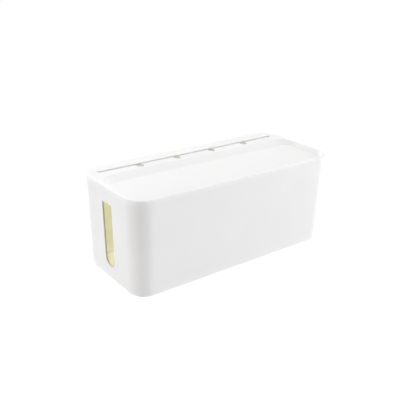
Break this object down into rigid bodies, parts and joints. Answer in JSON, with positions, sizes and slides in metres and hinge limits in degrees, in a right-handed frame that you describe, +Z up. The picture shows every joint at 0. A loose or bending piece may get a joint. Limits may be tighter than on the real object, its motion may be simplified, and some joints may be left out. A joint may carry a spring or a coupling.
{
  "type": "cable management box",
  "caption": "Rounded rectangular box with a lift-off dished lid, a notched cable slot along the lid's back and a cable slot in each end.",
  "frame": {"origin": "on the table under the middle of the box, at the lower face of the feet", "axes": "+X along the length, +Y to the back where the lid's cable slot is, +Z up"},
  "size_m": [0.32, 0.137, 0.128],
  "materials": {
    "box_plastic": "satin white moulded plastic, faintly translucent",
    "lid_plastic": "satin white moulded plastic",
    "foot_rubber": "matt pale grey rubber"
  },
  "bodies": {
    "box": {"box_body": "box_plastic", "foot_front_left": "foot_rubber", "foot_front_right": "foot_rubber", "foot_back_left": "foot_rubber", "foot_back_right": "foot_rubber"},
    "lid": {"lid": "lid_plastic"}
  },
  "joints": [
    {"name": "lid_lift", "type": "slide", "parent": "box", "child": "lid", "axis": [0, 0, 1], "range_m": [0, 0.12]}
  ]
}
